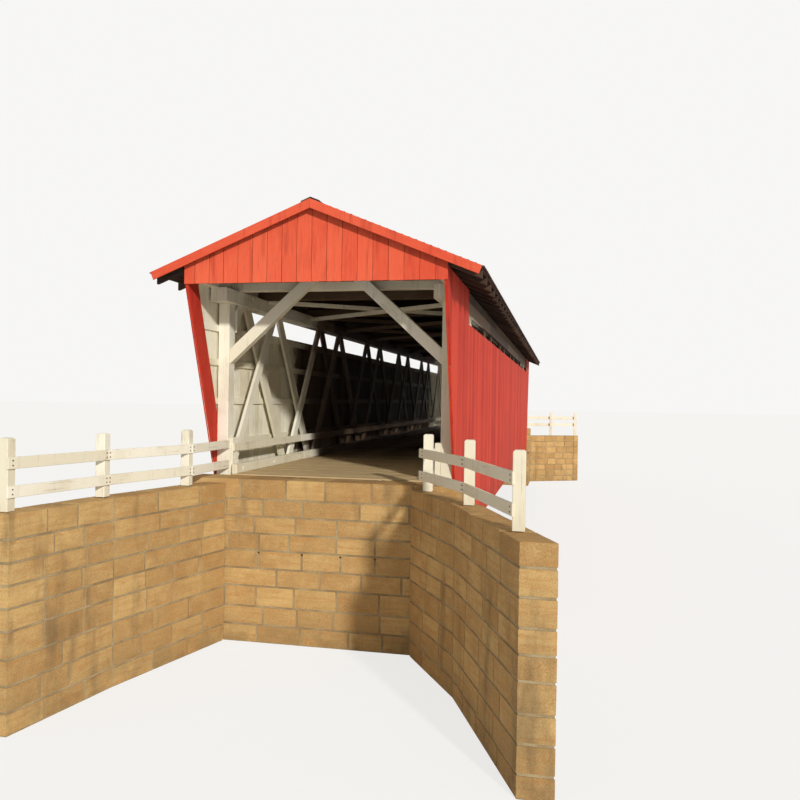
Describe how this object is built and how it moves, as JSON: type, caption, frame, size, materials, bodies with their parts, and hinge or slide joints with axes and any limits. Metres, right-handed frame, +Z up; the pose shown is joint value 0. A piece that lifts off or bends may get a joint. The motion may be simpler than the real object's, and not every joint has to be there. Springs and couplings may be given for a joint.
{
  "type": "timber covered bridge",
  "caption": "Single-lane timber covered bridge with board siding, a gabled shingle roof, white trusses of crossing timbers, stone abutments and white approach rails.",
  "frame": {"origin": "middle of the bounding box at the foot of the abutments", "axes": "+Z up; +Y along the bridge, from the pictured portal to the far one; +X to the right of someone entering"},
  "size_m": [11.1, 39.54, 8.4816],
  "materials": {
    "red_siding": "weathered red paint on sawn boards",
    "white_timber": "weathered white paint on sawn timber",
    "old_timber": "dark weathered timber",
    "roof_timber": "dark bare timber",
    "floor_planks": "worn bare planks",
    "shingles": "weathered wood shingles",
    "stone": "rough coursed sandstone"
  },
  "bodies": {
    "root": {"near_abutment": "stone", "far_abutment": "stone", "near_left_wing_wall": "stone", "near_right_wing_wall": "stone", "far_left_wing_wall": "stone", "far_right_wing_wall": "stone", "bed_timbers": "old_timber", "left_bottom_chord": "old_timber", "right_bottom_chord": "old_timber", "left_top_chord": "white_timber", "right_top_chord": "white_timber", "end_posts": "white_timber", "left_braces": "white_timber", "left_counters": "white_timber", "right_braces": "white_timber", "right_counters": "white_timber", "floor_beams": "old_timber", "stringers": "old_timber", "floor_planks": "floor_planks", "curbs": "white_timber", "guard_rails": "white_timber", "portal_knees": "white_timber", "tie_beams": "white_timber", "lower_lateral_braces": "white_timber", "upper_lateral_braces": "white_timber", "wall_plates": "white_timber", "rafters": "roof_timber", "ridge_board": "roof_timber", "left_girts": "white_timber", "right_girts": "white_timber", "left_siding": "red_siding", "right_siding": "red_siding", "left_end_siding": "red_siding", "right_end_siding": "red_siding", "near_gable": "red_siding", "far_gable": "red_siding", "gable_headers": "white_timber", "left_roof_boards": "roof_timber", "right_roof_boards": "roof_timber", "left_shingles": "shingles", "right_shingles": "shingles", "ridge_cap": "shingles", "near_barge_boards": "red_siding", "far_barge_boards": "red_siding", "approach_rails": "white_timber"}
  },
  "joints": []
}
